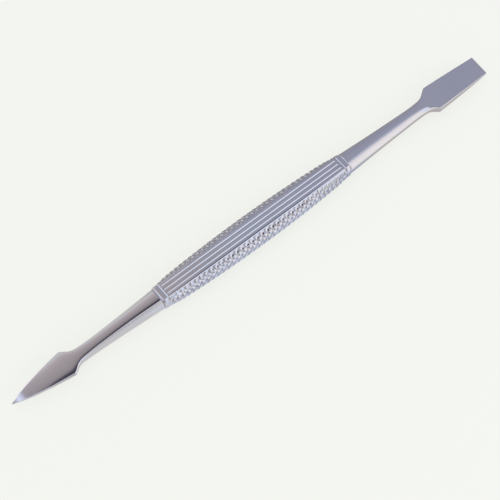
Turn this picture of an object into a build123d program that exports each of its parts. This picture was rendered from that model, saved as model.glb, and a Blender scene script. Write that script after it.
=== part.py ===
"""A double-ended cuticle pusher: a flat-oval patterned grip with a spear blade at one end and a
square pusher blade at the other.

The tool lies on its underside along X.  +X points to the square pusher blade, +Z is up, and the origin
is midway between the two working tips, on the surface that the grip rests on.  All sizes are millimetres.
"""

from build123d import *
import math
import os

# ---- driving sizes -------------------------------------------------------------------------------
LENGTH = 135.0
TIP = LENGTH / 2                 # distance of each working tip from the origin
THICKNESS = 4.2                  # of the grip, between its two flat panels
MID_HEIGHT = THICKNESS / 2       # height of the centreline

GRIP_CENTRE_X = -1.9             # the grip sits nearer the spear, because the square blade is longer
GRIP_LENGTH = 53.7               # patterned handle and both collars
GRIP_HALF_WIDTH = 4.19           # at the middle of the barrel
GRIP_END_HALF_WIDTH = 2.79       # at the outer faces of the collars
SHOULDER_DROP = 0.25             # the barrel draws in by this much between two shares of its half length
SHOULDER_FROM = 0.84
SHOULDER_TO = 0.96
PANEL_HALF_WIDTH = 1.75          # of the flat panels on the top and underside

COLLAR_WIDTH = 1.28
SEAM_DEPTH = 0.16                # chamfer on each edge of a collar, and of the handle beside it
SEAM_WIDTH = 0.3                 # length of that chamfer along X

FLUTE_PITCH = 1.12               # three V-shaped flutes lie along each flat panel
FLUTE_COUNT = 3
FLUTE_WIDTH = 0.48
FLUTE_DEPTH = 0.13
FLUTE_END_GAP = 0.35             # plain land between a flute and the end of the handle

TANG_RADIUS = 1.2
TANG_DEPTH = 10.0                # how far each tang is pressed into the handle
BORE_RELIEF = 0.4                # air left beyond the end of the tang

BARREL_STATIONS = 17             # sections that the handle is lofted through
FILL_PER_SPAN = 3                # sections between one station of a working end and the next

# ---- the spear end: (x, half width, half width of the flats, top, bottom) -------------------------
SPEAR_SHANK = (
    (-28.75, 2.62, 1.15, 4.15, 0.05),
    (-37.50, 2.12, 0.88, 3.90, 0.35),
    (-44.80, 1.80, 0.90, 3.66, 0.68),
    (-49.40, 1.74, 1.18, 3.52, 1.05),
    (-51.00, 2.00, 1.60, 3.47, 1.42),
    (-53.20, 3.32, 3.18, 3.40, 2.05),
)
SPEAR_BLADE = (
    (-53.20, 3.32, 3.18, 3.40, 2.05),
    (-57.50, 2.62, 2.48, 3.28, 2.16),
    (-61.50, 1.84, 1.72, 3.12, 2.22),
    (-65.00, 0.96, 0.88, 2.83, 2.25),
    (-TIP, 0.12, 0.09, 2.48, 2.35),
)

# ---- the pusher end, in the same terms -----------------------------------------------------------
PUSHER_SHANK = (
    (24.95, 2.68, 1.10, 4.15, 0.05),
    (33.60, 2.26, 0.80, 3.92, 0.30),
    (40.50, 2.00, 0.70, 3.75, 0.50),
    (47.00, 1.80, 0.85, 3.64, 0.74),
    (49.80, 2.04, 1.45, 3.62, 1.10),
    (52.60, 3.38, 3.26, 3.59, 1.65),
)
PUSHER_BLADE = (
    (52.60, 3.38, 3.26, 3.59, 1.65),
    (60.00, 3.10, 3.02, 3.28, 1.95),
    (65.00, 2.87, 2.80, 3.03, 2.32),
    (TIP, 2.76, 2.70, 2.90, 2.66),
)


def barrel_half_width(x):
    """Half width of the grip at x: an arc-like swell that draws in more quickly before the collars."""
    share = abs(x - GRIP_CENTRE_X) / (GRIP_LENGTH / 2)
    drawn = min(max((share - SHOULDER_FROM) / (SHOULDER_TO - SHOULDER_FROM), 0), 1)
    swell = GRIP_HALF_WIDTH - GRIP_END_HALF_WIDTH - SHOULDER_DROP
    return GRIP_HALF_WIDTH - swell * share**2 - SHOULDER_DROP * drawn**2 * (3 - 2 * drawn)


def section(x, half_width, flat_half_width, top, bottom):
    """A flat-topped oval across X: two flats joined by two elliptical sides."""
    mid = (top + bottom) / 2
    half_height = (top - bottom) / 2
    ellipse_height = half_height / math.sqrt(1 - (flat_half_width / half_width) ** 2)
    angle = math.degrees(math.asin(half_height / ellipse_height))
    plane = Plane(origin=(x, 0, mid), x_dir=(0, 1, 0), z_dir=(1, 0, 0))
    corner = Vector(flat_half_width, half_height)
    edges = [
        Line((-corner.X, corner.Y), (corner.X, corner.Y)),
        EllipticalCenterArc((0, 0), half_width, ellipse_height, -angle, arc_size=2 * angle),
        Line((corner.X, -corner.Y), (-corner.X, -corner.Y)),
        EllipticalCenterArc((0, 0), half_width, ellipse_height, 180 - angle, arc_size=2 * angle),
    ]
    return plane * make_face(Curve() + edges)


def slopes(xs, ys):
    """Slopes at the stations for a curve that never overshoots them (monotone cubic)."""
    rises = [(ys[i + 1] - ys[i]) / (xs[i + 1] - xs[i]) for i in range(len(xs) - 1)]
    inner = [0 if a * b <= 0 else 2 * a * b / (a + b) for a, b in zip(rises, rises[1:])]
    return [rises[0], *inner, rises[-1]]


def filled_in(stations, per_span):
    """The stations with smooth ones between them, so that a loft keeps close to the named sizes."""
    columns = list(zip(*stations))
    xs = columns[0]
    tangents = [slopes(xs, column) for column in columns[1:]]
    rows = [stations[0]]
    for i in range(len(xs) - 1):
        span = xs[i + 1] - xs[i]
        for step in range(1, per_span + 1):
            t = step / per_span
            row = [xs[i] + t * span]
            for ys, ms in zip(columns[1:], tangents):
                rise = ys[i + 1] - ys[i]
                bend = ms[i] * (1 - t) ** 2 * t * span - ms[i + 1] * t**2 * (1 - t) * span
                row.append(ys[i] + rise * t**2 * (3 - 2 * t) + bend)
            rows.append(tuple(row))
    return rows


def lofted(stations, ruled=False):
    """A solid through the sections at the stations."""
    return loft([section(*station) for station in stations], ruled=ruled)


def grip_section(x, inset=0.0):
    """Station of the grip at x, drawn in by inset all round."""
    return (x, barrel_half_width(x) - inset, PANEL_HALF_WIDTH - inset / 2,
            THICKNESS - inset, inset)


def barrel_oval(x):
    """The oval of the barrel at x, before the panels are planed flat."""
    half_width = barrel_half_width(x)
    half_height = MID_HEIGHT / math.sqrt(1 - (PANEL_HALF_WIDTH / half_width) ** 2)
    plane = Plane(origin=(x, 0, MID_HEIGHT), x_dir=(0, 1, 0), z_dir=(1, 0, 0))
    return plane * Ellipse(half_width, half_height)


def flutes(x_from, x_to):
    """The V-shaped flutes of both flat panels, as cutters."""
    profile = [(-FLUTE_WIDTH / 2, 0), (FLUTE_WIDTH / 2, 0), (0, -FLUTE_DEPTH)]
    cutters = []
    for side, height in ((1, THICKNESS), (-1, 0)):
        for number in range(FLUTE_COUNT):
            y = (number - (FLUTE_COUNT - 1) / 2) * FLUTE_PITCH
            plane = Plane(origin=(x_from, y, height), x_dir=(0, side, 0), z_dir=(1, 0, 0))
            face = plane * make_face(Polyline(*profile, close=True))
            cutters.append(extrude(face, x_to - x_from, dir=(1, 0, 0)))
    return cutters


def tang_bore(x_mouth, length, inward):
    """A cylinder along X from x_mouth: the tang, or the bore that holds it."""
    start = Plane(origin=(x_mouth, 0, MID_HEIGHT), x_dir=(0, 1, 0), z_dir=(inward, 0, 0))
    return extrude(start * Circle(TANG_RADIUS), length)


def make_handle(x_from, x_to):
    """The patterned handle: a flat-oval barrel with fluted panels and a blind bore in each end."""
    steps = [x_from + SEAM_WIDTH + n / (BARREL_STATIONS - 1) * (x_to - x_from - 2 * SEAM_WIDTH)
             for n in range(BARREL_STATIONS)]
    slab = Pos(0, 0, MID_HEIGHT) * Box(LENGTH, LENGTH, THICKNESS)
    barrel = loft([barrel_oval(x) for x in steps]) & slab
    ends = [lofted((grip_section(face, SEAM_DEPTH), grip_section(step)), ruled=True)
            for face, step in ((x_from, steps[0]), (x_to, steps[-1]))]
    body = barrel + ends
    body -= flutes(x_from + FLUTE_END_GAP, x_to - FLUTE_END_GAP)
    depth = TANG_DEPTH + BORE_RELIEF
    body -= tang_bore(x_from, depth, 1)
    body -= tang_bore(x_to, depth, -1)
    return body


def make_collar(x_from, x_to):
    """A ring with chamfered edges, which leave a fine V-shaped seam on each side of it."""
    body = lofted(
        (
            grip_section(x_from, SEAM_DEPTH),
            grip_section(x_from + SEAM_WIDTH),
            grip_section(x_to - SEAM_WIDTH),
            grip_section(x_to, SEAM_DEPTH),
        ),
        ruled=True,
    )
    return body - tang_bore(x_from, COLLAR_WIDTH, 1)


def make_working_end(shank, blade, inward):
    """A forged shank and blade, with the round tang that goes through the collar into the handle."""
    body = lofted(filled_in(shank, FILL_PER_SPAN)) + lofted(filled_in(blade, FILL_PER_SPAN))
    tang = tang_bore(shank[0][0], COLLAR_WIDTH + TANG_DEPTH, inward)
    return body + tang


def write(name, shape):
    shape.label = name
    export_step(shape, f"parts/{name}.step")
    print(f"{name:20s} {len(shape.solids())} solid  {shape.volume:9.2f} mm3")


def main():
    os.makedirs("parts", exist_ok=True)
    grip_from = GRIP_CENTRE_X - GRIP_LENGTH / 2
    grip_to = GRIP_CENTRE_X + GRIP_LENGTH / 2
    handle_from = grip_from + COLLAR_WIDTH
    handle_to = grip_to - COLLAR_WIDTH
    write("handle", make_handle(handle_from, handle_to))
    write("spear_collar", make_collar(grip_from, handle_from))
    write("pusher_collar", make_collar(handle_to, grip_to))
    write("spear_end", make_working_end(SPEAR_SHANK, SPEAR_BLADE, 1))
    write("pusher_end", make_working_end(PUSHER_SHANK, PUSHER_BLADE, -1))


main()
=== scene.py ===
import math

import bpy
import numpy as np
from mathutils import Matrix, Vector


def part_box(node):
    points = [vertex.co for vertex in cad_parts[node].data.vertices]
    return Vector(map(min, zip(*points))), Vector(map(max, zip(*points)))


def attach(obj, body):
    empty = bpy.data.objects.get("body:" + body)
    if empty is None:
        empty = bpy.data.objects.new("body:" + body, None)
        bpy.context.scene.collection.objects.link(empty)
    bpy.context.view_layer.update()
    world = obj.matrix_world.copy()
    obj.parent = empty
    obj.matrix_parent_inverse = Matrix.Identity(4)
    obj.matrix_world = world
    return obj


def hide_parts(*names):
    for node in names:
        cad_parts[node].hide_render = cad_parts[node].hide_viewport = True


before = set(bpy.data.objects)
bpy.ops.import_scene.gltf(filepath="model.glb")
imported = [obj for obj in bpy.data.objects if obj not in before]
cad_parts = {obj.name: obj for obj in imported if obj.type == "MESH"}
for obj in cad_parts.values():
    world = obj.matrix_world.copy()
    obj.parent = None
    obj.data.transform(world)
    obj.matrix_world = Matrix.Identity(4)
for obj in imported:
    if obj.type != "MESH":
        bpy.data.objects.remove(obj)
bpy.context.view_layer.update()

bl_info = {
    "name": "Double-ended cuticle pusher",
    "version": (1, 0, 0),
    "blender": (4, 5, 0),
    "location": "View3D > Sidebar > Cuticle Pusher",
    "description": "Builds a steel cuticle pusher with a knurled grip round its CAD frame",
    "category": "Add Mesh",
}

# The script works in metres, with +X towards the square pusher blade and +Z up.
MM = 0.001

# ---- where the frame puts things ------------------------------------------------------------------
SPEAR_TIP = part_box("spear_end")[0].x
PUSHER_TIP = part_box("pusher_end")[1].x
SPEAR_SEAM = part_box("spear_collar")[0].x
PUSHER_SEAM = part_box("pusher_collar")[1].x
HANDLE_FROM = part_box("handle")[0].x
HANDLE_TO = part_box("handle")[1].x
GRIP_MIDDLE = (HANDLE_FROM + HANDLE_TO) / 2
GRIP_HALF_LENGTH = (PUSHER_SEAM - SPEAR_SEAM) / 2
GRIP_HALF_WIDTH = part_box("handle")[1].y
GRIP_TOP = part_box("handle")[1].z
GRIP_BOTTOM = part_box("handle")[0].z
CENTRE_HEIGHT = (GRIP_TOP + GRIP_BOTTOM) / 2
COLLAR_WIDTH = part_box("spear_collar")[1].x - SPEAR_SEAM
TANG_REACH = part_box("spear_end")[1].x - SPEAR_SEAM
SHOULDER_FROM = 0.84          # shares of the grip's half length between which its sides draw in
SHOULDER_TO = 0.96
TANG_RADIUS = 1.2 * MM
BORE_RELIEF = 0.4 * MM        # left between the end of a tang and the bottom of its bore

# ---- the working ends, in millimetres and degrees --------------------------------------------------
# Each station: distance from the tip, half width, half width of the flat top, height of the top,
# height of the underside, how far the edge of the top is eased, how far the top leans towards that
# edge, and how much further it turns down just before the edge.
SPEAR_STATIONS = (
    (0.0, 0.09, 0.05, 2.43, 2.32, 0.01, 0.0, 0.0),
    (0.5, 0.26, 0.21, 2.46, 2.32, 0.02, 1.0, 0.0),
    (1.1, 0.46, 0.40, 2.51, 2.31, 0.03, 1.0, 0.0),
    (2.3, 0.87, 0.79, 2.72, 2.24, 0.05, 2.0, 0.0),
    (2.8, 1.02, 0.93, 2.79, 2.20, 0.05, 2.0, 0.0),
    (5.0, 1.62, 1.50, 2.935, 2.06, 0.08, 3.0, 0.0),
    (7.2, 2.07, 1.94, 3.07, 2.00, 0.08, 3.5, 2.5),
    (9.0, 2.47, 2.32, 3.17, 1.97, 0.10, 4.0, 6.0),
    (13.2, 3.19, 2.99, 3.36, 1.92, 0.16, 5.0, 11.0),
    (13.9, 3.30, 3.08, 3.38, 1.91, 0.17, 5.0, 12.0),
    (14.25, 3.34, 3.11, 3.40, 1.90, 0.17, 5.0, 12.0),
    (14.6, 3.16, 2.94, 3.41, 1.88, 0.16, 5.0, 11.0),
    (15.1, 2.84, 2.58, 3.42, 1.80, 0.14, 5.0, 8.0),
    (16.2, 2.12, 1.76, 3.45, 1.54, 0.12, 5.0, 4.0),
    (17.6, 1.79, 1.36, 3.49, 1.20, 0.11, 7.0, 2.0),
    (19.5, 1.74, 1.20, 3.55, 0.94, 0.11, 8.0, 1.0),
    (22.7, 1.80, 1.08, 3.66, 0.68, 0.11, 8.5, 0.0),
    (30.0, 2.12, 1.05, 3.90, 0.35, 0.12, 9.0, 0.0),
    (38.75, 2.62, 1.36, 4.15, 0.05, 0.12, 9.0, 0.0),
)
PUSHER_STATIONS = (
    (0.0, 2.77, 2.71, 2.90, 2.62, 0.03, 0.0, 0.0),
    (1.1, 2.84, 2.77, 2.96, 2.40, 0.04, 0.0, 0.0),
    (2.5, 2.91, 2.83, 3.03, 2.14, 0.05, 0.0, 0.0),
    (7.5, 3.14, 3.04, 3.28, 1.86, 0.06, 0.0, 0.0),
    (14.7, 3.42, 3.30, 3.57, 1.64, 0.07, 0.0, 0.0),
    (15.25, 3.43, 3.31, 3.59, 1.62, 0.07, 0.0, 0.0),
    (15.6, 3.22, 3.08, 3.60, 1.57, 0.08, 0.0, 0.0),
    (16.1, 2.86, 2.66, 3.60, 1.48, 0.10, 0.0, 0.0),
    (16.65, 2.44, 2.13, 3.61, 1.34, 0.13, 0.0, 0.0),
    (17.3, 2.08, 1.58, 3.62, 1.16, 0.18, 0.0, 0.0),
    (18.2, 1.88, 1.15, 3.63, 0.98, 0.22, 0.0, 0.0),
    (20.5, 1.81, 0.74, 3.65, 0.70, 0.30, 0.0, 0.0),
    (27.0, 2.00, 0.52, 3.75, 0.47, 0.36, 0.0, 0.0),
    (33.9, 2.26, 0.60, 3.92, 0.30, 0.38, 0.0, 0.0),
    (42.55, 2.68, 0.92, 4.15, 0.05, 0.38, 0.0, 0.0),
)
TIP_SLANT = 0.07              # of the square blade: its +Y side stands further out than its -Y side
SLANT_FULL = 15.0             # the slant is full up to this distance from the tip
SLANT_END = 19.0              # and has faded out by this one
ROW_SPACING = 0.16            # between the sections that skin a working end
TIP_ROUND = 0.04              # radius left on the end of a blade

CROWN_STEPS = 24              # steps from the middle of a flat to its edge
FINE = 160                    # steps along a quarter outline before it is sampled
PLAIN_CREASE = 40             # degrees: an edge sharper than this shows crisp
KNURL_CREASE = 32             # the same on the handle, where the ridges of the knurl are crisp


class GripSizes(bpy.types.PropertyGroup):
    """Sizes of the grip's pattern."""

    panel_half_width: bpy.props.FloatProperty(
        name="Panel half width", description="Of the flat panels on the top and underside",
        default=1.75 * MM, unit="LENGTH")
    end_half_width: bpy.props.FloatProperty(
        name="End half width", description="Of the grip at the outer faces of its collars",
        default=2.79 * MM, unit="LENGTH")
    shoulder_drop: bpy.props.FloatProperty(
        name="Shoulder drop", description="How far the sides draw in just before the collars",
        default=0.25 * MM, unit="LENGTH")
    edge_easing: bpy.props.FloatProperty(
        name="Edge easing", description="How far the edges of the panels are eased",
        default=0.05 * MM, unit="LENGTH")
    seam_depth: bpy.props.FloatProperty(
        name="Seam depth", description="Of the rounded groove on both sides of a collar",
        default=0.15 * MM, unit="LENGTH")
    seam_width: bpy.props.FloatProperty(
        name="Seam half width", description="From the joint to the edge of its groove",
        default=0.27 * MM, unit="LENGTH")
    knurl_count: bpy.props.IntProperty(
        name="Diamonds along", description="Diamonds from one end of the handle to the other",
        default=37)
    knurl_rows: bpy.props.IntProperty(
        name="Diamonds across", description="Diamonds across each rounded side", default=3)
    knurl_depth: bpy.props.FloatProperty(
        name="Knurl depth", description="Of the V grooves between the diamonds",
        default=0.26 * MM, unit="LENGTH")
    knurl_wear: bpy.props.FloatProperty(
        name="Knurl wear", description="0 for pointed diamonds, 1 for rounded ones",
        default=0.1, min=0, max=1, subtype="FACTOR")
    knurl_unevenness: bpy.props.FloatProperty(
        name="Knurl unevenness", description="How much the knurl's depth varies from place to place",
        default=0.45, min=0, max=1, subtype="FACTOR")
    knurl_border: bpy.props.FloatProperty(
        name="Knurl border", description="Plain band between a panel and the knurl",
        default=0.6 * MM, unit="LENGTH")
    end_land: bpy.props.FloatProperty(
        name="End land", description="Plain band between a seam and the pattern",
        default=0.4 * MM, unit="LENGTH")
    flute_pitch: bpy.props.FloatProperty(
        name="Flute pitch", description="Between the flutes on a panel",
        default=1.12 * MM, unit="LENGTH")
    flute_width: bpy.props.FloatProperty(
        name="Flute width", description="Of each flute where it meets the panel",
        default=0.48 * MM, unit="LENGTH")
    flute_depth: bpy.props.FloatProperty(
        name="Flute depth", description="Of each V-shaped flute",
        default=0.13 * MM, unit="LENGTH")


class SteelLooks(bpy.types.PropertyGroup):
    """Colours and finish of the steel, as sRGB hex values."""

    bright: bpy.props.StringProperty(
        name="Bright steel", description="Where the polish is best", default="c9c6c6")
    shade: bpy.props.StringProperty(
        name="Steel shade", description="Where the polish is thinner", default="c0bdbf")
    # Painted shade with residue: the steel is darkened towards the bottom of the grooves, where the
    # knurl shades itself.
    residue_and_shade: bpy.props.StringProperty(
        name="Residue and shade", description="Darkened steel in the bottom of the grooves",
        default="525a6a")


class StageSizes(bpy.types.PropertyGroup):
    """The camera, the floor and the light."""

    azimuth: bpy.props.FloatProperty(
        name="Azimuth", description="Direction of the camera round the tool",
        default=math.radians(-39.53), subtype="ANGLE")
    elevation: bpy.props.FloatProperty(
        name="Elevation", description="Height of the camera above the floor, as an angle",
        default=math.radians(62.0), subtype="ANGLE")
    distance: bpy.props.FloatProperty(
        name="Distance", description="From the camera to the point it looks at",
        default=316.44 * MM, unit="LENGTH")
    field: bpy.props.FloatProperty(
        name="Field of view", description="Of the square picture",
        default=math.radians(20.0), subtype="ANGLE")
    floor: bpy.props.StringProperty(
        name="Floor", description="Colour of the floor as it shows", default="f0f1eb")


# ---- numbers ---------------------------------------------------------------------------------------
def linear(hex_colour):
    """An sRGB hex colour as linear red, green, blue and alpha."""
    parts = [int(hex_colour[i:i + 2], 16) / 255 for i in (0, 2, 4)]
    return (*[c / 12.92 if c <= 0.04045 else ((c + 0.055) / 1.055) ** 2.4 for c in parts], 1.0)


def curve_through(places, values, wanted):
    """A smooth curve through stations that never swings past a station's value."""
    rise = np.diff(values) / np.diff(places)
    before, after = rise[:-1], rise[1:]
    same_way = before * after > 0
    inner = np.where(same_way, 2 * before * after / np.where(same_way, before + after, 1), 0)
    slope = np.concatenate([rise[:1], inner, rise[-1:]])
    i = np.clip(np.searchsorted(places, wanted) - 1, 0, len(places) - 2)
    span = places[i + 1] - places[i]
    t = (wanted - places[i]) / span
    bend = span * (slope[i] * t * (1 - t) ** 2 - slope[i + 1] * t**2 * (1 - t))
    return values[i] + (values[i + 1] - values[i]) * t**2 * (3 - 2 * t) + bend


def softened(values, width):
    """The values averaged with their neighbours under a bell curve `width` steps wide."""
    reach = int(math.ceil(3 * width))
    if reach < 1:
        return values
    bell = np.exp(-0.5 * (np.arange(-reach, reach + 1) / width) ** 2)
    return np.convolve(np.pad(values, reach, mode="edge"), bell / bell.sum(), mode="valid")


# ---- sections --------------------------------------------------------------------------------------
def quarter(half_width, flat, height, easing, lean, crown=0.0):
    """A quarter of a flat-topped oval, from the middle of its flat to its widest point.

    The flat leans by `lean` at its edge, and by `crown` more that sets in only close to the edge.
    Returns, at FINE steps, the distance along the outline, y, and the drop below the flat.  The side is
    part of an ellipse, and the edge where the flat meets it is eased by turning gradually.  For that the
    outline's heading is mirrored past both of its ends, softened, and followed step by step.
    """
    full = height / math.sqrt(1 - (flat / half_width) ** 2)
    turn = np.linspace(math.asin(height / full), 0, FINE)
    y = half_width * np.cos(turn)
    z = full * np.sin(turn)
    along = flat + np.insert(np.cumsum(np.hypot(np.diff(y), np.diff(z))), 0, 0)
    side = np.arctan2(full * np.cos(turn), half_width * np.sin(turn))
    end = along[-1]
    share = np.linspace(0, 0.9999, CROWN_STEPS)     # just short of the edge, where the side begins
    reached = np.concatenate([flat * share, along])
    heading = np.concatenate([lean * share + crown * share**3, side])
    s = np.linspace(-end, 2 * end, 3 * FINE + 1)
    angle = np.interp(np.where(s > end, 2 * end - s, np.abs(s)), reached, heading)
    angle = np.where(s < 0, -angle, np.where(s > end, math.pi - angle, angle))
    step = s[1] - s[0]
    angle = softened(angle, easing / step)[FINE:2 * FINE + 1]
    middle = (angle[1:] + angle[:-1]) / 2
    y = np.insert(np.cumsum(np.cos(middle)), 0, 0)
    drop = np.insert(np.cumsum(np.sin(middle)), 0, 0)
    return s[FINE:2 * FINE + 1], y * half_width / y[-1], drop * height / drop[-1]


def ring(x, places, outline, top, bottom):
    """The points of one section, clockwise from the middle of the top as seen from +X.

    `outline` is a quarter outline, and `places` are the distances along it to use.
    """
    last = len(places) - 1
    y = np.interp(places, outline[0], outline[1])
    drop = np.interp(places, outline[0], outline[2])
    high, low = top - drop, bottom + drop
    y = np.concatenate([y[:last], y[last:0:-1], -y[:last], -y[last:0:-1]])
    z = np.concatenate([high[:last], low[last:0:-1], low[:last], high[last:0:-1]])
    return np.column_stack([np.full(len(y), x), y, z])


def round_ring(like, x, radius):
    """A circle about the tool's axis, with its points in the same directions as those of `like`."""
    angle = np.arctan2(like[:, 2] - CENTRE_HEIGHT, like[:, 1])
    return np.column_stack([np.full(len(angle), x), radius * np.cos(angle),
                            CENTRE_HEIGHT + radius * np.sin(angle)])


def skin(name, rings, split=None, closed=False):
    """A mesh over a row of rings that run towards +X.

    Its two ends are closed with fans, or joined to each other if `closed`.  `split` says how to cut the
    quad at a ring and a column: along its first diagonal, its second, or not at all.
    """
    count = len(rings[0])
    points = [tuple(p) for r in rings for p in r]
    pairs = [(i, i + 1) for i in range(len(rings) - 1)]
    if closed:
        pairs.append((len(rings) - 1, 0))
    faces = []
    for i, following in pairs:
        for j in range(count):
            k = (j + 1) % count
            a, b = i * count + j, following * count + j
            c, d = following * count + k, i * count + k
            way = split(i, j) if split else None
            if way is None:
                faces.append((a, b, c, d))
            elif way:
                faces += [(a, b, c), (a, c, d)]
            else:
                faces += [(a, b, d), (b, c, d)]
    if not closed:
        for index, flip in ((0, False), (len(rings) - 1, True)):
            centre = len(points)
            points.append(tuple(rings[index].mean(axis=0)))
            for j in range(count):
                a, b = index * count + j, index * count + (j + 1) % count
                faces.append((b, a, centre) if flip else (a, b, centre))
    mesh = bpy.data.meshes.new(name)
    mesh.from_pydata(points, [], faces)
    mesh.update()
    return mesh


def add_piece(name, mesh, node, sharp_angle):
    """Puts a finished mesh in the scene in place of its CAD node."""
    piece = bpy.data.objects.new(name, mesh)
    bpy.context.scene.collection.objects.link(piece)
    mesh.shade_smooth()
    mesh.set_sharp_from_angle(angle=math.radians(sharp_angle))
    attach(piece, "root")
    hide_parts(node)


# ---- nodes -----------------------------------------------------------------------------------------
def add_node(tree, kind, settings=None, inputs=None):
    """Adds a node with its settings, and fills its inputs with values or with links from sockets."""
    node = tree.nodes.new(kind)
    for name, value in (settings or {}).items():
        setattr(node, name, value)
    for key, value in (inputs or {}).items():
        if isinstance(value, bpy.types.NodeSocket):
            tree.links.new(value, node.inputs[key])
        else:
            node.inputs[key].default_value = value
    return node


def maths(tree, operation, *values):
    """The result of a maths node on numbers or sockets."""
    node = add_node(tree, "ShaderNodeMath", {"operation": operation}, dict(enumerate(values)))
    return node.outputs[0]


def mapped(tree, value, start, end, low=0.0, high=1.0, smooth=False):
    """A number that passes from low to high while the value passes from start to end."""
    kind = {"interpolation_type": "SMOOTHSTEP" if smooth else "LINEAR"}
    return add_node(tree, "ShaderNodeMapRange", kind, {
        0: value, 1: start, 2: end, 3: low, 4: high}).outputs[0]


def mixed(tree, share, first, second):
    """A colour between two others."""
    return add_node(tree, "ShaderNodeMix", {"data_type": "RGBA"}, {
        0: share, 6: first, 7: second}).outputs[2]


def new_material(name):
    """An empty node material, and its tree."""
    material = bpy.data.materials.new(name)
    material.use_nodes = True
    material.node_tree.nodes.clear()
    return material, material.node_tree


NOISE_RANGE = (0.3, 0.7)      # where nearly all of a noise texture's values lie
MARK_SWING = 0.25             # share by which the marks raise and lower the roughness
CLOUD_SIZE = 7 * MM
SHADE_AND_RESIDUE_FROM = 0.55           # share of the pattern's depth below which painted shade and residue gather
SHADE_AND_RESIDUE_MOST = 0.6            # how much of the steel it covers at full depth
RESIDUE_ROUGHNESS = 0.2       # what it adds to the roughness where it covers all of the steel


def steel(name, mark, roughness, relief, hollow=None):
    """Bright steel with the marks of its last working.

    `mark` is the size of one mark along X, Y and Z in millimetres: the marks vary the roughness and
    stand `relief` millimetres high.  A slow cloud drifts the colour between two steels.  Where the
    mesh attribute named by `hollow` rises, painted shade darkens the steel and residue dulls it.
    """
    looks = bpy.context.scene.pusher_steel
    material, tree = new_material(name)
    place = add_node(tree, "ShaderNodeTexCoord").outputs["Object"]
    stretched = add_node(tree, "ShaderNodeMapping", inputs={
        "Vector": place, "Scale": [1 / (size * MM) for size in mark]}).outputs[0]
    marks = add_node(tree, "ShaderNodeTexNoise", inputs={
        "Vector": stretched, "Scale": 1.0, "Detail": 3.0, "Roughness": 0.6}).outputs[0]
    cloud = add_node(tree, "ShaderNodeTexNoise", inputs={
        "Vector": place, "Scale": 1 / CLOUD_SIZE, "Detail": 2.0}).outputs[0]
    colour = mixed(tree, cloud, linear(looks.bright), linear(looks.shade))
    rough = mapped(tree, marks, *NOISE_RANGE,
                   roughness * (1 - MARK_SWING), roughness * (1 + MARK_SWING))
    if hollow:
        # Painted shade with residue: the steel darkens towards the bottom of the grooves, where the
        # knurl shades itself, and the residue dulls it.
        depth = add_node(tree, "ShaderNodeAttribute", {"attribute_name": hollow}).outputs["Fac"]
        shade_and_residue = mapped(tree, depth, SHADE_AND_RESIDUE_FROM, 1.0, high=SHADE_AND_RESIDUE_MOST)
        colour = mixed(tree, shade_and_residue, colour, linear(looks.residue_and_shade))
        rough = maths(tree, "MULTIPLY_ADD", shade_and_residue, RESIDUE_ROUGHNESS, rough)
    bump = add_node(tree, "ShaderNodeBump", inputs={
        "Height": marks, "Distance": relief * MM}).outputs[0]
    shader = add_node(tree, "ShaderNodeBsdfPrincipled", inputs={
        "Base Color": colour, "Metallic": 1.0, "Roughness": rough, "Normal": bump})
    add_node(tree, "ShaderNodeOutputMaterial", inputs={"Surface": shader.outputs[0]})
    return material


def ground_steel():
    """Forged stainless steel, ground lengthwise and buffed: a soft grey mirror with faint long marks."""
    return steel("Ground stainless steel", mark=(6.0, 0.16, 0.16), roughness=0.13, relief=0.0006)


def turned_steel():
    """Stainless steel turned on a lathe: a bright ring, with fine marks that run round it."""
    return steel("Turned stainless steel", mark=(0.12, 4.0, 4.0), roughness=0.14, relief=0.0006)


def coined_steel():
    """Stainless steel with its pattern pressed in a die: bright faces, and painted shade with residue in
    the grooves.
    """
    return steel("Coined stainless steel", mark=(1.2, 0.3, 0.3), roughness=0.14, relief=0.0008,
                 hollow="hollow")


# ---- the grip --------------------------------------------------------------------------------------
SEAM_STEPS = (0.0, 0.3, 0.8, 0.95, 1.15)      # shares of a seam's half width, from its joint outwards
SEAM_DROPS = (1.0, 0.74, 0.2, 0.06, 0.0)      # shares of its depth at those steps
FLUTE_STEPS = (0.0, 0.08, 0.3, 0.6, 0.9, 1.0, 1.1, 1.7)    # shares of half a flute's width
BORDER_STEPS = (0.2, 0.4, 0.7)                # shares of the band between a panel and the knurl
FLUTES_TO_EDGE = 2                            # the middle flute of a panel and the one beside it
EDGE_REACH = 3                                # easings from a panel's edge with points close together
LEAST_GAP = 0.02 * MM                         # between neighbouring points on a panel

STEPS_PER_DIAMOND = 8
TAPER_STEPS = 120             # along the handle, to work out how its diamonds shorten
LEAST_DIAMOND = 0.35          # share of its length that a diamond would keep on a knurl of no width
BORDER_PRESS = 0.6            # share of the knurl's depth where it meets its border
UNEVEN_PATCH = 1.6 * MM       # size of the patches over which the knurl's depth varies
UNEVEN_SEED = 4.0             # which of the noise's patterns the patches follow


def grip_outline(x, inset=0.0):
    """A quarter outline of the grip at x, drawn in by `inset` all round."""
    sizes = bpy.context.scene.pusher_grip
    share = (x - GRIP_MIDDLE) / GRIP_HALF_LENGTH
    drawn = min(max((abs(share) - SHOULDER_FROM) / (SHOULDER_TO - SHOULDER_FROM), 0), 1)
    shoulder = sizes.shoulder_drop * drawn**2 * (3 - 2 * drawn)
    swell = GRIP_HALF_WIDTH - sizes.end_half_width - sizes.shoulder_drop
    half_width = GRIP_HALF_WIDTH - swell * share**2 - shoulder
    return quarter(half_width - inset, sizes.panel_half_width - inset / 2,
                   CENTRE_HEIGHT - GRIP_BOTTOM - inset, sizes.edge_easing, 0.0)


def grip_ring(x, inset, places):
    """A section of the grip through the places given by a function of its quarter outline."""
    outline = grip_outline(x, inset)
    return ring(x, places(outline, inset), outline, GRIP_TOP - inset, GRIP_BOTTOM + inset)


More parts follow.
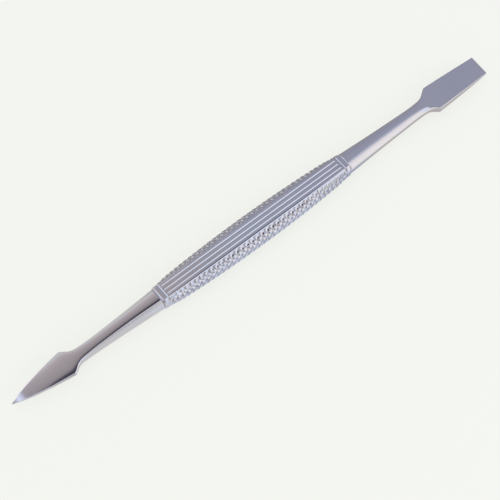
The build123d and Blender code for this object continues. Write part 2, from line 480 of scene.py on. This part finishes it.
def seam_profile():
    """Distances from a joint over one side of its groove, and how far the surface is drawn in there."""
    sizes = bpy.context.scene.pusher_grip
    return sizes.seam_width * np.array(SEAM_STEPS), sizes.seam_depth * np.array(SEAM_DROPS)


def panel_places():
    """Distances from the middle of a panel to its edge, close together on the walls of the flutes."""
    sizes = bpy.context.scene.pusher_grip
    wall = sizes.flute_width / 2
    offsets = [side * wall * share for side in (-1, 1) for share in FLUTE_STEPS]
    flutes = [n * sizes.flute_pitch + offset for n in range(FLUTES_TO_EDGE) for offset in offsets]
    edge = sizes.panel_half_width - sizes.edge_easing * np.arange(EDGE_REACH + 1)
    inner = [place for place in flutes if 0 <= place < edge[-1] - LEAST_GAP]
    return np.unique(np.round(np.concatenate([inner, edge]), 9))


def knurl_outline(outline):
    """Where the knurl starts along a quarter outline, and the width of half a side's knurl."""
    sizes = bpy.context.scene.pusher_grip
    start = sizes.panel_half_width + sizes.knurl_border
    return start, outline[0][-1] - start


def half_knurl_steps():
    """Steps of the lattice from the border of a side's knurl to the middle of that side."""
    return bpy.context.scene.pusher_grip.knurl_rows * STEPS_PER_DIAMOND // 2


def handle_places(outline, inset):
    """Places round the handle: across a panel, over its border, then by the steps of the lattice."""
    sizes = bpy.context.scene.pusher_grip
    start, width = knurl_outline(outline)
    border = sizes.panel_half_width + sizes.knurl_border * np.array(BORDER_STEPS)
    steps = half_knurl_steps()
    lattice = start + width * np.arange(steps + 1) / steps
    return np.concatenate([panel_places() * (1 - inset / GRIP_HALF_WIDTH), border, lattice])


def lattice_rows():
    """X of each row of the knurl's lattice: the diamonds shorten as the sides narrow to the ends."""
    sizes = bpy.context.scene.pusher_grip
    x = np.linspace(HANDLE_FROM + sizes.end_land, HANDLE_TO - sizes.end_land, TAPER_STEPS + 1)
    width = np.array([knurl_outline(grip_outline(place))[1] for place in x])
    pitch = LEAST_DIAMOND + (1 - LEAST_DIAMOND) * width / width.max()
    count = np.insert(np.cumsum(np.diff(x) * 2 / (pitch[1:] + pitch[:-1])), 0, 0)
    wanted = np.linspace(0, count[-1], sizes.knurl_count * STEPS_PER_DIAMOND + 1)
    return np.interp(wanted, count, x)


def lattice_columns():
    """The knurl's column of each point round the handle: 0 is its border, and -1 is off the knurl."""
    panel = len(panel_places()) + len(BORDER_STEPS)
    column = np.concatenate([np.full(panel, -1), np.arange(half_knurl_steps() + 1)])
    last = len(column) - 1
    return np.concatenate([column[:last], column[last:0:-1]] * 2)


def pattern_tree(material):
    """Geometry nodes that press the knurl and the flutes into the handle."""
    tree = bpy.data.node_groups.new("Grip pattern", "GeometryNodeTree")
    for way in ("INPUT", "OUTPUT"):
        tree.interface.new_socket("Geometry", in_out=way, socket_type="NodeSocketGeometry")
    for name in ("Knurl Depth", "Knurl Wear", "Unevenness", "Seed",
                 "Flute Pitch", "Flute Width", "Flute Depth"):
        tree.interface.new_socket(name, in_out="INPUT", socket_type="NodeSocketFloat")
    given = add_node(tree, "NodeGroupInput").outputs
    along, across, knurled, fluted = [
        add_node(tree, "GeometryNodeInputNamedAttribute", {"data_type": "FLOAT"},
                 {"Name": name}).outputs["Attribute"]
        for name in ("along", "across", "knurled", "fluted")]

    # Two families of grooves cross where the sum or the difference of the lattice places is whole.
    families = [maths(tree, operation, along, across) for operation in ("ADD", "SUBTRACT")]
    distances = [maths(tree, "PINGPONG", family, 0.5) for family in families]
    nearest = maths(tree, "MINIMUM", *distances)
    gap = maths(tree, "MULTIPLY_ADD", nearest, -2.0, 1.0)
    blunt = maths(tree, "MULTIPLY", gap, gap)
    worn = add_node(tree, "ShaderNodeMix", {"data_type": "FLOAT"},
                    {0: given["Knurl Wear"], 2: gap, 3: blunt}).outputs[0]
    noise = add_node(tree, "ShaderNodeTexNoise", {"noise_dimensions": "4D"},
                     {"W": given["Seed"], "Scale": 1 / UNEVEN_PATCH, "Detail": 1.0}).outputs[0]
    evenness = maths(tree, "SUBTRACT", 1.0, maths(tree, "MULTIPLY", noise, given["Unevenness"]))
    knurl = given["Knurl Depth"]
    for factor in (worn, knurled, evenness):
        knurl = maths(tree, "MULTIPLY", knurl, factor)

    # Each place on a panel takes the depth of the flute nearest to it.
    place = add_node(tree, "GeometryNodeInputPosition").outputs[0]
    sideways = add_node(tree, "ShaderNodeSeparateXYZ", inputs={0: place}).outputs["Y"]
    shifted = maths(tree, "MULTIPLY_ADD", given["Flute Pitch"], 0.5, sideways)
    snapped = maths(tree, "SNAP", shifted, given["Flute Pitch"])
    away = maths(tree, "ABSOLUTE", maths(tree, "SUBTRACT", sideways, snapped))
    wall = maths(tree, "MULTIPLY", given["Flute Width"], 0.5)
    flute = mapped(tree, away, 0.0, wall, given["Flute Depth"], 0.0)
    flute = maths(tree, "MULTIPLY", flute, fluted)

    drop = maths(tree, "ADD", knurl, flute)
    lowered = maths(tree, "MULTIPLY", drop, -1.0)
    normal = add_node(tree, "GeometryNodeInputNormal").outputs[0]
    offset = add_node(tree, "ShaderNodeVectorMath", {"operation": "SCALE"},
                      {0: normal, "Scale": lowered}).outputs[0]
    hollow = maths(tree, "DIVIDE", drop, given["Knurl Depth"])
    pressed = add_node(tree, "GeometryNodeSetPosition", inputs={
        "Geometry": given["Geometry"], "Offset": offset}).outputs[0]
    noted = add_node(tree, "GeometryNodeStoreNamedAttribute",
                     {"data_type": "FLOAT", "domain": "POINT"},
                     {"Geometry": pressed, "Name": "hollow", "Value": hollow}).outputs[0]
    real = add_node(tree, "GeometryNodeRealizeInstances", inputs={"Geometry": noted}).outputs[0]
    finished = add_node(tree, "GeometryNodeSetMaterial", inputs={
        "Geometry": real, "Material": material}).outputs[0]
    add_node(tree, "NodeGroupOutput", inputs={0: finished})
    return tree


def with_nodes(mesh, tree, values):
    """The mesh as a geometry node tree leaves it, given values for the tree's inputs by name."""
    holder = bpy.data.objects.new(mesh.name, mesh)
    bpy.context.scene.collection.objects.link(holder)
    modifier = holder.modifiers.new("Pattern", "NODES")
    modifier.node_group = tree
    for item in tree.interface.items_tree:
        if item.in_out == "INPUT" and item.name in values:
            modifier[item.identifier] = values[item.name]
    graph = bpy.context.evaluated_depsgraph_get()
    result = bpy.data.meshes.new_from_object(
        holder.evaluated_get(graph), preserve_all_data_layers=True, depsgraph=graph)
    bpy.data.objects.remove(holder)
    return result


def handle_rings(lattice):
    """Sections of the handle: out of one bore, along its outside, and into the other bore."""
    land, insets = seam_profile()
    x = np.concatenate([HANDLE_FROM + land, lattice, HANDLE_TO - land[::-1]])
    inset = np.concatenate([insets, np.zeros(len(lattice)), insets[::-1]])
    rows = [grip_ring(place, drawn, handle_places) for place, drawn in zip(x, inset)]
    bore = TANG_REACH - COLLAR_WIDTH + BORE_RELIEF
    return [round_ring(rows[0], HANDLE_FROM + bore, TANG_RADIUS),
            round_ring(rows[0], HANDLE_FROM, TANG_RADIUS), *rows,
            round_ring(rows[-1], HANDLE_TO, TANG_RADIUS),
            round_ring(rows[-1], HANDLE_TO - bore, TANG_RADIUS)]


def note_lattice(mesh, row, last_row, column):
    """Stores where each point of the handle stands on the lattice, and which pattern it takes."""
    inside = np.clip(np.minimum(row, last_row - row), 0, 1)
    on_knurl = (column >= 0) * np.where(column == 0, BORDER_PRESS, 1.0)
    values = {
        "along": np.repeat(row, len(column)) / STEPS_PER_DIAMOND,
        "across": np.tile(np.maximum(column, 0), len(row)) / STEPS_PER_DIAMOND,
        "knurled": np.outer(inside, on_knurl).ravel(),
        "fluted": np.outer(inside, column < 0).ravel(),
    }
    for name, numbers in values.items():
        padded = np.append(numbers, [0.0, 0.0]).astype(np.float32)    # for the ends' middle points
        mesh.attributes.new(name, "FLOAT", "POINT").data.foreach_set("value", padded)


class PUSHER_OT_handle(bpy.types.Operator):
    """Build the handle: a flat-oval barrel with fluted panels, knurled sides and a bore in each end"""

    bl_idname = "pusher.handle"
    bl_label = "Handle"

    def execute(self, context):
        sizes = context.scene.pusher_grip
        lattice = lattice_rows()
        rings = handle_rings(lattice)
        first, last_row = 2 + len(SEAM_STEPS), len(lattice) - 1   # two rings of the bore come first
        row = np.clip(np.arange(len(rings)) - first, 0, last_row)
        column = lattice_columns()

        def split(i, j):
            """Cuts the quads of the knurl along its grooves and ridges."""
            ends = column[j], column[(j + 1) % len(column)]
            if min(ends) < 0 or not first <= i < first + last_row:
                return None
            return (row[i] + ends[0]) % 2 == 0

        mesh = skin("handle_base", rings, split)
        note_lattice(mesh, row, last_row, column)
        mesh = with_nodes(mesh, pattern_tree(coined_steel()), {
            "Knurl Depth": sizes.knurl_depth, "Knurl Wear": sizes.knurl_wear,
            "Unevenness": sizes.knurl_unevenness, "Seed": UNEVEN_SEED,
            "Flute Pitch": sizes.flute_pitch, "Flute Width": sizes.flute_width,
            "Flute Depth": sizes.flute_depth})
        add_piece("patterned_handle", mesh, "handle", KNURL_CREASE)
        return {"FINISHED"}


# ---- the other pieces ------------------------------------------------------------------------------
COLLAR_FLAT_STEPS = 10        # between a collar's points, over half a flat
COLLAR_EDGE_STEPS = 12        # over its edge
COLLAR_SIDE_STEPS = 24        # and over half a side

BLADE_FLAT_STEPS = 8          # the same on a working end
BLADE_EDGE_STEPS = 12
BLADE_SIDE_STEPS = 12
EDGE_SPREAD = 2.5             # easings from a working end's edge with points close together
LEAST_FLAT = 0.35             # share of the flat that these points leave at least
MOST_SIDE = 0.6               # share of the side that they take at most
TIP_STEPS = (0.0, 0.15, 0.5, 1.0, 2.0)        # sections near a tip, in radii of its rounding


def collar_places(outline, inset):
    """Places round a collar, close together at the edges of its flats."""
    sizes = bpy.context.scene.pusher_grip
    flat = sizes.panel_half_width - inset / 2
    near_edge = flat + sizes.edge_easing * np.linspace(-EDGE_REACH, EDGE_REACH, COLLAR_EDGE_STEPS + 1)
    return np.concatenate([np.linspace(0, near_edge[0], COLLAR_FLAT_STEPS, endpoint=False), near_edge,
                           np.linspace(near_edge[-1], outline[0][-1], COLLAR_SIDE_STEPS + 1)[1:]])


def build_collar(name, node):
    """A ring with rounded edges and a hole for the tang."""
    start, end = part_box(node)[0].x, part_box(node)[1].x
    away, inset = seam_profile()
    x = np.concatenate([start + away, end - away[::-1]])
    rows = [grip_ring(place, drawn, collar_places)
            for place, drawn in zip(x, np.concatenate([inset, inset[::-1]]))]
    rings = [round_ring(rows[0], start, TANG_RADIUS), *rows, round_ring(rows[-1], end, TANG_RADIUS)]
    mesh = skin(name, rings, closed=True)
    mesh.materials.append(turned_steel())
    add_piece(name, mesh, node, PLAIN_CREASE)


class PUSHER_OT_collars(bpy.types.Operator):
    """Build the two collars between the handle and the working ends"""

    bl_idname = "pusher.collars"
    bl_label = "Collars"

    def execute(self, context):
        build_collar("spear_side_collar", "spear_collar")
        build_collar("pusher_side_collar", "pusher_collar")
        return {"FINISHED"}


def blade_places(outline, flat, easing):
    """Places round a working end: across its flat, over the eased edge, then down its side."""
    end = outline[0][-1]
    before = max(flat - EDGE_SPREAD * easing, LEAST_FLAT * flat)
    after = min(flat + EDGE_SPREAD * easing, flat + MOST_SIDE * (end - flat))
    return np.concatenate([np.linspace(0, before, BLADE_FLAT_STEPS, endpoint=False),
                           np.linspace(before, after, BLADE_EDGE_STEPS, endpoint=False),
                           np.linspace(after, end, BLADE_SIDE_STEPS + 1)])


def end_spacing(length):
    """Distances of a working end's sections from its tip, and how far each section is drawn in.

    Sections are drawn in to round off the tip, and again for the groove at the seam.
    """
    radius = TIP_ROUND * MM
    plain = np.linspace(0, length, int(length / (ROW_SPACING * MM)))
    tip_rows = radius * np.array(TIP_STEPS)
    away, drawn_in = seam_profile()
    seam_rows = length - away
    inner = plain[(plain > tip_rows[-1]) & (plain < seam_rows[-1])]
    distance = np.concatenate([tip_rows, inner, seam_rows[::-1]])
    short = np.maximum(radius - distance, 0)
    round_off = radius - np.sqrt(np.maximum(radius**2 - short**2, 0))
    return distance, round_off + np.interp(length - distance, away, drawn_in)


def end_rings(stations, tip, seam, slant=0.0):
    """Sections of a working end, from its tip to its seam with the collar, then those of its tang.

    `slant` is how much further the tip reaches for each metre towards +Y.
    """
    table = np.array(stations)
    way = math.copysign(1, seam - tip)
    distance, inset = end_spacing(abs(seam - tip))
    half_width, flat, top, bottom, easing = [
        curve_through(table[:, 0] * MM, table[:, k] * MM, distance) for k in (1, 2, 3, 4, 5)]
    lean, crown = [np.radians(curve_through(table[:, 0] * MM, table[:, k], distance)) for k in (6, 7)]
    fade = np.clip((SLANT_END * MM - distance) / ((SLANT_END - SLANT_FULL) * MM), 0, 1)
    rings = []
    for n, d in enumerate(distance):
        outline = quarter(half_width[n] - inset[n], flat[n] - inset[n] / 2,
                          (top[n] - bottom[n]) / 2 - inset[n], easing[n], lean[n], crown[n])
        places = blade_places(outline, flat[n] - inset[n] / 2, easing[n])
        section = ring(tip + way * d, places, outline, top[n] - inset[n], bottom[n] + inset[n])
        section[:, 0] -= way * slant * fade[n] * (section[:, 1] + half_width[0])
        rings.append(section)
    tang_end = seam + way * TANG_REACH
    rings += [round_ring(rings[-1], seam, TANG_RADIUS), round_ring(rings[-1], tang_end, TANG_RADIUS)]
    return rings


class PUSHER_OT_spear_end(bpy.types.Operator):
    """Build the spear end: a leaf-shaped blade, its shank and its tang"""

    bl_idname = "pusher.spear_end"
    bl_label = "Spear end"

    def execute(self, context):
        mesh = skin("spear", end_rings(SPEAR_STATIONS, SPEAR_TIP, SPEAR_SEAM))
        mesh.materials.append(ground_steel())
        add_piece("spear_blade_and_shank", mesh, "spear_end", PLAIN_CREASE)
        return {"FINISHED"}


class PUSHER_OT_pusher_end(bpy.types.Operator):
    """Build the pusher end: a square-tipped blade, its shank and its tang"""

    bl_idname = "pusher.pusher_end"
    bl_label = "Pusher end"

    def execute(self, context):
        rings = end_rings(PUSHER_STATIONS, PUSHER_TIP, PUSHER_SEAM, TIP_SLANT)
        mesh = skin("pusher", rings[::-1])
        mesh.materials.append(ground_steel())
        add_piece("square_blade_and_shank", mesh, "pusher_end", PLAIN_CREASE)
        return {"FINISHED"}


# ---- the stage, in millimetres -----------------------------------------------------------------------
FLOOR_REACH = 2000            # from the middle of the floor to its sides
FLOOR_GLOW = 0.84             # share of its colour that the floor gives off
FLOOR_MATT = 0.2              # share that it scatters, which lets the tool's shadow show a little
SKY_COLOUR = "eef1f6"
SKY_STRENGTH = 1.05
CAMERA_TARGET = (-5.08, -2.64, 0.3)
NEAREST_SEEN = 10             # distance from the camera where its view starts

# Each softbox: name, middle, side, brightness and colour.
SOFTBOXES = (
    ("near softbox", (190, -230, 150), 170, 1.9, "f3f2ff"),
    ("side softbox", (-150, -260, 120), 120, 2.6, "dfe8ff"),
)

# The colours of the cards, in linear red, green and blue.  A stop starts with its place on the ramp.
RAMP_TOP = 2                  # a ramp's own colours end at 1, so it holds them divided by this
OVERHEAD_LEFT = (
    (-62, 0.86, 0.86, 0.86), (-50, 0.08, 0.08, 0.12), (34, 0.08, 0.08, 0.12),
    (46, 0.42, 0.42, 0.42), (100, 0.62, 0.62, 0.62), (150, 0.86, 0.86, 0.86))
OVERHEAD_RIGHT = (
    (-62, 0.95, 0.94, 0.93), (-20, 0.8, 0.8, 0.79), (38, 0.54, 0.54, 0.54),
    (150, 0.515, 0.515, 0.515))
OVERHEAD_CHANGE = (90, 106)   # X between which the overhead card passes from the left to the right
OVERHEAD_TINT = ((30, 1.04, 0.96, 1.02), (62, 0.90, 1.04, 1.27), (105, 0.93, 0.99, 1.28))
LEFT_TINT = (
    (-500, 0.9, 0.95, 1.1), (-190, 1.0, 1.07, 1.3), (-150, 1.42, 1.55, 1.9),
    (-124, 1.42, 1.55, 1.9), (-114, 1.0, 1.1, 1.4), (-75, 0.8, 0.88, 1.12))
LEFT_FAR_COLOUR = (1.0, 0.95, 0.95, 1)
FAR_COLOUR = (0.46, 0.485, 0.62, 1)
LOW_FAR_COLOUR = (0.44, 0.43, 0.46, 1)
NEAR_HIGH = (
    (-8, 0.93, 0.94, 1.0), (2, 1.3, 1.4, 1.65), (124, 1.35, 1.45, 1.7), (131, 0.98, 1.0, 1.06),
    (150, 1.16, 1.15, 1.19), (167, 1.22, 1.21, 1.25))
NEAR_LOW = (
    (-60, 0.5, 0.5, 0.56), (-25, 0.93, 0.94, 1.0), (0, 0.97, 1.0, 1.08), (8, 1.03, 1.18, 1.53),
    (112, 1.03, 1.18, 1.53), (122, 1.33, 1.34, 1.43), (140, 1.4, 1.38, 1.41))
NEAR_CHANGE = (130, 480)      # heights between which the near card passes from low to high
NEAR_LEAN = -0.226            # how far its colours lean along X for each step up
LOW_TINT = (
    (-70, 0.95, 0.95, 0.95), (-32, 0.95, 0.96, 0.98), (-22, 1.0, 1.12, 1.42),
    (27, 1.02, 1.13, 1.42), (36, 1.3, 1.28, 1.3), (80, 1.35, 1.3, 1.3))
CONTACT_COLOUR = (0.1, 0.1, 0.1, 1)
CONTACT_MOST = 0.52           # how much of the contact shade lies on the low card beside the tool
CONTACT_FADE = (-12, -5)      # Y between which it gathers
CONTACT_LEFT = (-30, -20)     # X between which it starts


def glowing(name, pattern):
    """A plain glowing material; `pattern` adds nodes to its tree and returns colour and strength."""
    material, tree = new_material(name)
    colour, strength = pattern(tree)
    glow = add_node(tree, "ShaderNodeEmission", inputs={"Color": colour, "Strength": strength})
    add_node(tree, "ShaderNodeOutputMaterial", inputs={"Surface": glow.outputs[0]})
    return material


def even(colour):
    """A pattern of one colour."""
    return lambda tree: (colour, 1.0)


def card_place(tree):
    """Sockets with the X, Y and Z of a place on a card."""
    place = add_node(tree, "ShaderNodeTexCoord").outputs["Object"]
    return add_node(tree, "ShaderNodeSeparateXYZ", inputs={0: place}).outputs


def passed(tree, place, between, **settings):
    """A share that rises while a coordinate passes between two places in millimetres."""
    return mapped(tree, place, between[0] * MM, between[1] * MM, **settings)


def ramp(tree, place, stops):
    """A colour ramp along a coordinate, with its colours divided by RAMP_TOP."""
    first, last = stops[0][0], stops[-1][0]
    node = add_node(tree, "ShaderNodeValToRGB", inputs={0: passed(tree, place, (first, last))})
    elements = node.color_ramp.elements
    while len(elements) < len(stops):
        elements.new(0.5)
    for element, (at, *colour) in zip(elements, stops):
        element.position = (at - first) / (last - first)
        element.color = (*[c / RAMP_TOP for c in colour], 1)
    return node.outputs[0]


def overhead_pattern(tree):
    """On the left dark above the tool, between pale edges; on the right greyer to the far side."""
    at = card_place(tree)
    left, right = [ramp(tree, at["Y"], stops) for stops in (OVERHEAD_LEFT, OVERHEAD_RIGHT)]
    share = passed(tree, at["X"], OVERHEAD_CHANGE, smooth=True)
    tint = ramp(tree, at["X"], OVERHEAD_TINT)
    colour = add_node(tree, "ShaderNodeVectorMath", {"operation": "MULTIPLY"}, {
        0: mixed(tree, share, left, right), 1: tint})
    return colour.outputs[0], RAMP_TOP**2


def left_pattern(tree):
    """Bluish white, brightest in a band across the card and dimmer on both sides of it."""
    return ramp(tree, card_place(tree)["X"], LEFT_TINT), RAMP_TOP


def near_pattern(tree):
    """White on the left, bluish beside the grip and bright on the right, leaning with height."""
    at = card_place(tree)
    along = maths(tree, "MULTIPLY_ADD", at["Z"], NEAR_LEAN, at["X"])
    height = passed(tree, at["Z"], NEAR_CHANGE, smooth=True)
    low, high = [ramp(tree, along, stops) for stops in (NEAR_LOW, NEAR_HIGH)]
    return mixed(tree, height, low, high), RAMP_TOP


def low_pattern(tree):
    """White, then bluish beside the grip and bright on the right, with a contact shade by the tool."""
    at = card_place(tree)
    contact = passed(tree, at["Y"], CONTACT_FADE, high=CONTACT_MOST)
    shade = maths(tree, "MULTIPLY", contact, passed(tree, at["X"], CONTACT_LEFT))
    return mixed(tree, shade, ramp(tree, at["X"], LOW_TINT), CONTACT_COLOUR), RAMP_TOP


# Each card: name, pattern, its reach along X, and the (y, z) of its two edges that run along X.
ABOVE_TOOL = 200              # height of the cards overhead
JUST_OFF_FLOOR = 0.1          # and of those that lie on the floor
CARDS = (
    ("overhead_card", overhead_pattern, (-74, 330), (-62, ABOVE_TOOL), (150, ABOVE_TOOL)),
    ("left_card", left_pattern, (-500, -75), (-300, ABOVE_TOOL), (230, ABOVE_TOOL)),
    ("left_far_card", even(LEFT_FAR_COLOUR), (-500, -75), (230, ABOVE_TOOL), (600, ABOVE_TOOL)),
    ("low_far_card", even(LOW_FAR_COLOUR), (-26, 300), (5.5, JUST_OFF_FLOOR), (150, JUST_OFF_FLOOR)),
    ("far_card", even(FAR_COLOUR), (20, 800), (160, 2), (150, ABOVE_TOOL)),
    ("near_card", near_pattern, (-300, 500), (-260, 0), (-260, 700)),
    ("low_card", low_pattern, (-200, 300), (-240, JUST_OFF_FLOOR), (-1, JUST_OFF_FLOOR)),
)


def stage_sheet(name, corners, material):
    """A flat sheet of the stage, given its four corners in turn."""
    mesh = bpy.data.meshes.new(name)
    mesh.from_pydata([[c * MM for c in corner] for corner in corners], [], [(0, 1, 2, 3)])
    mesh.materials.append(material)
    sheet = bpy.data.objects.new(name, mesh)
    bpy.context.scene.collection.objects.link(sheet)
    return sheet


def backlit_acrylic(shown):
    """Backlit acrylic sheet: an even pale ground, which the tool's shadow darkens only a little."""
    material, tree = new_material("Backlit acrylic sheet")
    glow = add_node(tree, "ShaderNodeEmission", inputs={"Color": shown, "Strength": FLOOR_GLOW})
    matt = add_node(tree, "ShaderNodeBsdfDiffuse", inputs={
        "Color": [c * FLOOR_MATT for c in shown[:3]] + [1]})
    both = add_node(tree, "ShaderNodeAddShader", inputs={0: glow.outputs[0], 1: matt.outputs[0]})
    add_node(tree, "ShaderNodeOutputMaterial", inputs={"Surface": both.outputs[0]})
    return material


def add_floor(colour):
    """The sheet that the tool lies on."""
    r = FLOOR_REACH
    corners = (-r, -r, 0), (r, -r, 0), (r, r, 0), (-r, r, 0)
    stage_sheet("floor", corners, backlit_acrylic(linear(colour)))


def add_card(name, pattern, reach, edge, other_edge):
    """A studio card that shows only in reflections."""
    corners = [(x, *edge) for x in reach] + [(x, *other_edge) for x in reversed(reach)]
    material = glowing(name.replace("_", " ").capitalize(), pattern)
    card = stage_sheet(name, corners, material)
    card.visible_camera = False
    card.visible_diffuse = False
    card.visible_shadow = False
    card.visible_transmission = False


def add_sky():
    """An even pale surround, which lights what the cards don't."""
    world = bpy.data.worlds.new("Studio")
    bpy.context.scene.world = world
    world.use_nodes = True
    tree = world.node_tree
    tree.nodes.clear()
    sky = add_node(tree, "ShaderNodeBackground", inputs={
        "Color": linear(SKY_COLOUR), "Strength": SKY_STRENGTH})
    add_node(tree, "ShaderNodeOutputWorld", inputs={"Surface": sky.outputs[0]})


def add_softbox(name, middle, side, brightness, colour):
    """A square light that faces the tool, and shows in no reflection."""
    light = bpy.data.lights.new(name, "AREA")
    light.shape = "SQUARE"
    light.size = side * MM
    light.color = linear(colour)[:3]
    light.energy = brightness * math.pi * (side * MM) ** 2
    softbox = bpy.data.objects.new(name, light)
    bpy.context.scene.collection.objects.link(softbox)
    softbox.location = Vector(middle) * MM
    softbox.rotation_euler = (-Vector(middle)).to_track_quat("-Z", "Y").to_euler()
    softbox.visible_camera = False
    softbox.visible_glossy = False


def add_camera(stage):
    """The camera, which looks down at the tool from its near side."""
    lens = bpy.data.cameras.new("camera")
    lens.lens = lens.sensor_width / 2 / math.tan(stage.field / 2)
    lens.clip_start = NEAREST_SEEN * MM
    camera = bpy.data.objects.new("camera", lens)
    bpy.context.scene.collection.objects.link(camera)
    level = math.cos(stage.elevation)
    back = Vector((math.sin(stage.azimuth) * level, -math.cos(stage.azimuth) * level,
                   math.sin(stage.elevation)))
    camera.location = Vector(CAMERA_TARGET) * MM + back * stage.distance
    camera.rotation_euler = back.to_track_quat("Z", "Y").to_euler()
    bpy.context.scene.camera = camera


class PUSHER_OT_stage(bpy.types.Operator):
    """Build the floor, the light and the camera"""

    bl_idname = "pusher.stage"
    bl_label = "Stage"

    def execute(self, context):
        stage = context.scene.pusher_stage
        context.scene.view_settings.view_transform = "Standard"
        add_floor(stage.floor)
        for card in CARDS:
            add_card(*card)
        add_sky()
        for softbox in SOFTBOXES:
            add_softbox(*softbox)
        add_camera(stage)
        return {"FINISHED"}


class PUSHER_PT_panel(bpy.types.Panel):
    """The pusher's sizes, finish and pieces"""

    bl_idname = "PUSHER_PT_panel"
    bl_label = "Cuticle Pusher"
    bl_space_type = "VIEW_3D"
    bl_region_type = "UI"
    bl_category = "Cuticle Pusher"

    def draw(self, context):
        for group in SETTINGS:
            settings = getattr(context.scene, group)
            for name in settings.__annotations__:
                self.layout.prop(settings, name)
        for operator in OPERATORS:
            self.layout.operator(operator.bl_idname)


OPERATORS = (PUSHER_OT_handle, PUSHER_OT_collars, PUSHER_OT_spear_end, PUSHER_OT_pusher_end,
             PUSHER_OT_stage)
SETTINGS = {"pusher_grip": GripSizes, "pusher_steel": SteelLooks, "pusher_stage": StageSizes}


def register():
    """Registers the classes, and gives the scene its settings."""
    for kind in (*SETTINGS.values(), *OPERATORS, PUSHER_PT_panel):
        bpy.utils.register_class(kind)
    for name, group in SETTINGS.items():
        setattr(bpy.types.Scene, name, bpy.props.PointerProperty(type=group))


def unregister():
    """Takes the settings and the classes away again."""
    for name in SETTINGS:
        delattr(bpy.types.Scene, name)
    for kind in reversed((*SETTINGS.values(), *OPERATORS, PUSHER_PT_panel)):
        bpy.utils.unregister_class(kind)


def main():
    """Registers the add-on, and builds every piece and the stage."""
    register()
    for operator in OPERATORS:
        group, name = operator.bl_idname.split(".")
        getattr(getattr(bpy.ops, group), name)()


if __name__ == "__main__":
    main()
